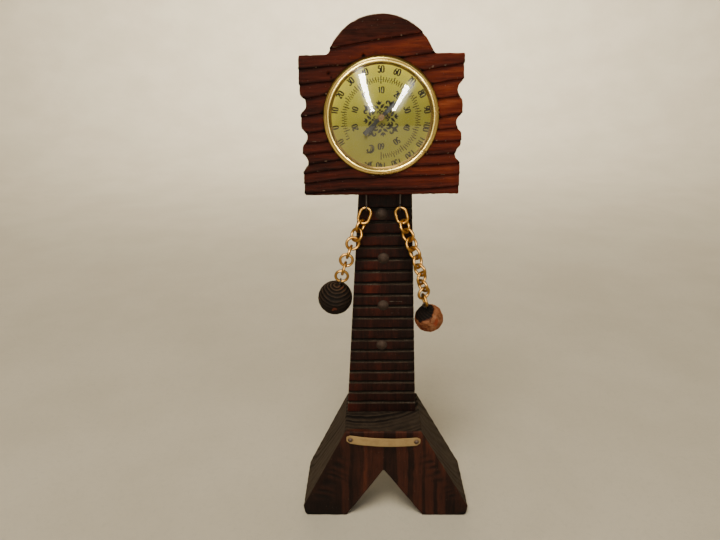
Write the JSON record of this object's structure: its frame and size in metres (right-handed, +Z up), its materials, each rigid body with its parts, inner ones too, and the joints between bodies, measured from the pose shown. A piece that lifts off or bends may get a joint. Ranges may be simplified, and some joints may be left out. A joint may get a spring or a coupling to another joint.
{
  "type": "table thermometer",
  "caption": "Clock-shaped wooden table thermometer: scalloped head with a round brass dial, grooved tapered column, splayed block foot, and wooden balls hanging on brass chains.",
  "frame": {"origin": "on the table, under the middle of the object's bounding box", "axes": "+Z up, -Y the front with the dial, +X to the right of someone who looks at the dial"},
  "size_m": [0.1106, 0.0472, 0.308],
  "materials": {
    "stained_wood_base": "burnt and brushed pine, dark red-brown stain, satin",
    "stained_wood_column": "burnt and brushed pine, very dark red-brown, satin",
    "stained_wood_head": "burnt and brushed pine with raised grain, reddish-brown, satin",
    "brass_case": "drawn, dull",
    "dial_face": "greenish gold with black printing",
    "gilt_ring": "satin",
    "clear_crystal": "clear, glossy",
    "polished_brass": "polished, lightly worn",
    "brass_works": "satin",
    "bimetal": "rolled strip",
    "copper_hub": "satin copper",
    "blued_steel": "blue-grey",
    "antique_tack": "browned, dull",
    "plate_brass": "tan lacquered, bare",
    "brown_pin": "browned",
    "screw_steel": "dull",
    "black_wire": "blackened wire",
    "gilt_chain": "gilt, knurled wire",
    "dark_ball_wood": "burnt and brushed, growth rings standing proud",
    "chipped_ball_wood": "dark stain chipped down to raw orange-brown wood"
  },
  "bodies": {
    "root": {"base_block": "stained_wood_base", "column": "stained_wood_column", "head_board": "stained_wood_head", "thermometer_case": "brass_case", "dial_plate": "dial_face", "inner_ring": "gilt_ring", "crystal": "clear_crystal", "bezel_ring": "polished_brass", "arbor_bridge": "brass_works", "pivot_bush": "brass_works", "bimetal_coil": "bimetal", "coil_anchor": "brass_works", "column_tacks": "antique_tack", "name_plate": "plate_brass", "plate_pins": "brown_pin", "head_screws": "screw_steel", "base_screw": "screw_steel", "eye_left": "black_wire", "eye_right": "black_wire"},
    "pointer": {"arbor": "copper_hub", "pointer_hand": "blued_steel", "pointer_hub": "copper_hub"},
    "link_left_1": {"link_left_1": "gilt_chain"},
    "link_left_2": {"link_left_2": "gilt_chain"},
    "link_left_3": {"link_left_3": "gilt_chain"},
    "link_left_4": {"link_left_4": "gilt_chain"},
    "link_left_5": {"link_left_5": "gilt_chain"},
    "link_left_6": {"link_left_6": "gilt_chain"},
    "link_left_7": {"link_left_7": "gilt_chain"},
    "link_left_8": {"link_left_8": "gilt_chain"},
    "weight_left": {"ball_left": "dark_ball_wood", "ball_eye_left": "black_wire"},
    "link_right_1": {"link_right_1": "gilt_chain"},
    "link_right_2": {"link_right_2": "gilt_chain"},
    "link_right_3": {"link_right_3": "gilt_chain"},
    "link_right_4": {"link_right_4": "gilt_chain"},
    "link_right_5": {"link_right_5": "gilt_chain"},
    "link_right_6": {"link_right_6": "gilt_chain"},
    "link_right_7": {"link_right_7": "gilt_chain"},
    "link_right_8": {"link_right_8": "gilt_chain"},
    "link_right_9": {"link_right_9": "gilt_chain"},
    "link_right_10": {"link_right_10": "gilt_chain"},
    "link_right_11": {"link_right_11": "gilt_chain"},
    "weight_right": {"ball_right": "chipped_ball_wood", "ball_eye_right": "black_wire"}
  },
  "joints": [
    {"name": "pointer_turn", "type": "hinge", "parent": "root", "child": "pointer", "pos_m": [-0.0022, -0.0111, 0.2585], "axis": [0, 1, 0], "range_deg": [-166.4, 133.6], "stiffness_Nm_per_rad": 0.00002, "deforming": ["bimetal_coil"]},
    {"name": "link_left_1_swing", "type": "hinge", "parent": "root", "child": "link_left_1", "pos_m": [-0.0104, -0.0041, 0.2068], "axis": [0, 1, 0], "range_deg": [0, 30]},
    {"name": "link_left_2_swing", "type": "hinge", "parent": "link_left_1", "child": "link_left_2", "pos_m": [-0.0132, -0.00448, 0.19953], "axis": [-0.9336, 0.0188, 0.3579], "range_deg": [-2, 25]},
    {"name": "link_left_3_swing", "type": "hinge", "parent": "link_left_2", "child": "link_left_3", "pos_m": [-0.01545, -0.00501, 0.19449], "axis": [-0.4841, -0.8209, 0.303], "range_deg": [-18, 0]},
    {"name": "link_left_4_swing", "type": "hinge", "parent": "link_left_3", "child": "link_left_4", "pos_m": [-0.0178, -0.00554, 0.18948], "axis": [-0.6735, 0.6983, 0.2424], "range_deg": [0, 18]},
    {"name": "link_left_5_swing", "type": "hinge", "parent": "link_left_4", "child": "link_left_5", "pos_m": [-0.02006, -0.0058, 0.18442], "axis": [0.8864, 0.2209, -0.4068], "range_deg": [-18, 18]},
    {"name": "link_left_6_swing", "type": "hinge", "parent": "link_left_5", "child": "link_left_6", "pos_m": [-0.02195, -0.00571, 0.17921], "axis": [-0.0982, -0.995, 0.0184], "range_deg": [-20, 0]},
    {"name": "link_left_7_swing", "type": "hinge", "parent": "link_left_6", "child": "link_left_7", "pos_m": [-0.02358, -0.00525, 0.17392], "axis": [-0.9563, -0.0255, 0.2913], "range_deg": [-8, 18]},
    {"name": "link_left_8_swing", "type": "hinge", "parent": "link_left_7", "child": "link_left_8", "pos_m": [-0.02511, -0.00441, 0.16865], "axis": [0.1005, 0.9868, 0.1271], "range_deg": [0, 20]},
    {"name": "weight_left_swing", "type": "hinge", "parent": "link_left_8", "child": "weight_left", "pos_m": [-0.02664, -0.0033, 0.16343], "axis": [0.9613, 0.0573, -0.2696], "range_deg": [-20, 20]},
    {"name": "link_right_1_swing", "type": "hinge", "parent": "root", "child": "link_right_1", "pos_m": [0.0086, -0.0041, 0.2068], "axis": [0, -1, 0], "range_deg": [0, 30]},
    {"name": "link_right_2_swing", "type": "hinge", "parent": "link_right_1", "child": "link_right_2", "pos_m": [0.01075, -0.00475, 0.19933], "axis": [-0.9403, 0.1836, -0.2867], "range_deg": [-4, 25]},
    {"name": "link_right_3_swing", "type": "hinge", "parent": "link_right_2", "child": "link_right_3", "pos_m": [0.01256, -0.00566, 0.19416], "axis": [0.6078, 0.7907, 0.0731], "range_deg": [-18, 0]},
    {"name": "link_right_4_swing", "type": "hinge", "parent": "link_right_3", "child": "link_right_4", "pos_m": [0.01455, -0.00665, 0.18908], "axis": [0.6938, -0.606, 0.3891], "range_deg": [0, 14]},
    {"name": "link_right_5_swing", "type": "hinge", "parent": "link_right_4", "child": "link_right_5", "pos_m": [0.01653, -0.00746, 0.18396], "axis": [-0.7152, -0.6778, -0.1706], "range_deg": [0, 16]},
    {"name": "link_right_6_swing", "type": "hinge", "parent": "link_right_5", "child": "link_right_6", "pos_m": [0.01843, -0.00792, 0.17876], "axis": [-0.6645, 0.6833, -0.3026], "range_deg": [-18, 0]},
    {"name": "link_right_7_swing", "type": "hinge", "parent": "link_right_6", "child": "link_right_7", "pos_m": [0.01996, -0.00783, 0.17343], "axis": [0.5918, 0.7849, 0.1834], "range_deg": [-18, 0]},
    {"name": "link_right_8_swing", "type": "hinge", "parent": "link_right_7", "child": "link_right_8", "pos_m": [0.02121, -0.00717, 0.16806], "axis": [0.7241, -0.6845, 0.0844], "range_deg": [0, 16]},
    {"name": "link_right_9_swing", "type": "hinge", "parent": "link_right_8", "child": "link_right_9", "pos_m": [0.02227, -0.00603, 0.16273], "axis": [-0.631, -0.7238, -0.2792], "range_deg": [0, 16]},
    {"name": "link_right_10_swing", "type": "hinge", "parent": "link_right_9", "child": "link_right_10", "pos_m": [0.02314, -0.00471, 0.15741], "axis": [-0.6349, 0.7676, 0.0878], "range_deg": [-18, 0]},
    {"name": "link_right_11_swing", "type": "hinge", "parent": "link_right_10", "child": "link_right_11", "pos_m": [0.02381, -0.00328, 0.15209], "axis": [0.8417, 0.4851, 0.237], "range_deg": [-18, 0]},
    {"name": "weight_right_swing", "type": "hinge", "parent": "link_right_11", "child": "weight_right", "pos_m": [0.02478, -0.00178, 0.14684], "axis": [0.2549, -0.9409, -0.223], "range_deg": [0, 18]}
  ]
}
